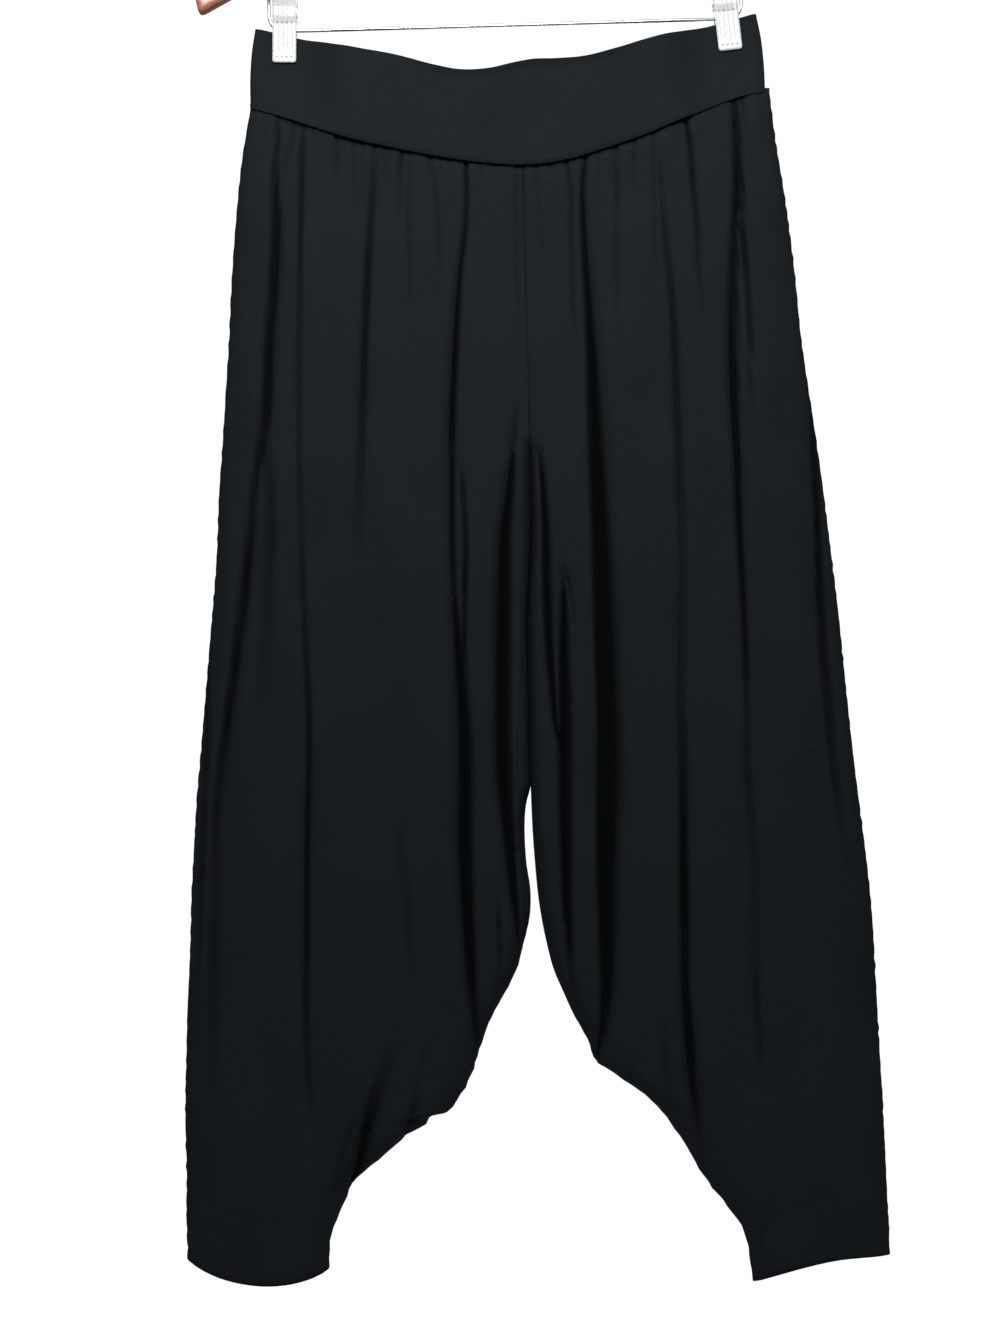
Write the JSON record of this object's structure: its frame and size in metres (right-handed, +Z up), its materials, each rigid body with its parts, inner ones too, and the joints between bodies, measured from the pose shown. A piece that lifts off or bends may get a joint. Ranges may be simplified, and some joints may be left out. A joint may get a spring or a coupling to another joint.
{
  "type": "harem pants on a clip hanger",
  "caption": "Black jersey harem pants with a wide dipped waistband, gathered hips, a low crotch and narrow open hems, clipped by the waist to a wooden hanger.",
  "frame": {"origin": "the crown of the hanger's hook, on its inner side, where it rests on a rail", "axes": "+Z up along the hanging garment, -Y out of its front, +X to the wearer's left"},
  "size_m": [0.506, 0.036, 1.1304],
  "materials": {
    "jersey": "matt fine jersey",
    "hanger_wood": "satin varnish",
    "hanger_steel": "polished",
    "clip_plastic": "clear, ribbed"
  },
  "bodies": {
    "root": {"waistband_front": "jersey", "waistband_back": "jersey", "right_leg_front": "jersey", "right_leg_back": "jersey", "left_leg_front": "jersey", "left_leg_back": "jersey", "clip_right_front_jaw": "clip_plastic", "clip_right_back_jaw": "clip_plastic", "clip_left_front_jaw": "clip_plastic", "clip_left_back_jaw": "clip_plastic", "clip_right_spring": "hanger_steel", "clip_left_spring": "hanger_steel", "hanger_hook": "hanger_steel", "hanger_bar": "hanger_steel", "hanger_wood": "hanger_wood"}
  },
  "joints": []
}
